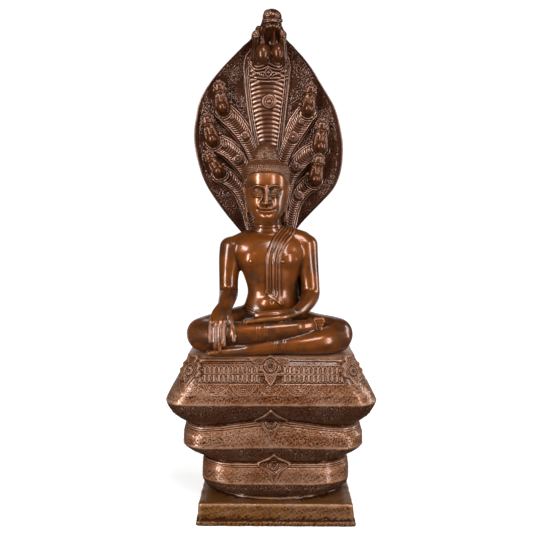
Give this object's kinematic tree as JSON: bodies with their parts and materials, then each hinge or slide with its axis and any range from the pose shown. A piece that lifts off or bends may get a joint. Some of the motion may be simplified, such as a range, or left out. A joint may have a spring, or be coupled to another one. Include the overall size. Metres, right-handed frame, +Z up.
{
  "type": "naga buddha",
  "caption": "Cast bronze seated figure in earth-touching pose on stacked serpent coils, sheltered by a leaf-shaped hood of serpent heads, on a flat plinth.",
  "frame": {"origin": "centre of the plinth's flat underside", "axes": "+Z up along the figure's height, the front faces -Y, +X at the viewer's right"},
  "size_m": [0.429, 0.284, 1.0511],
  "materials": {
    "throne_bronze": "cast bronze, brown patina rubbed to tan on raised carving, near-black in recesses, satin",
    "figure_bronze": "cast bronze, warm red-brown patina, smooth and glossy",
    "hood_bronze": "cast bronze, brown patina with rubbed ridges and dark recesses, satin to glossy"
  },
  "bodies": {
    "root": {"naga_throne": "throne_bronze", "buddha_figure": "figure_bronze", "naga_hood": "hood_bronze"}
  },
  "joints": []
}
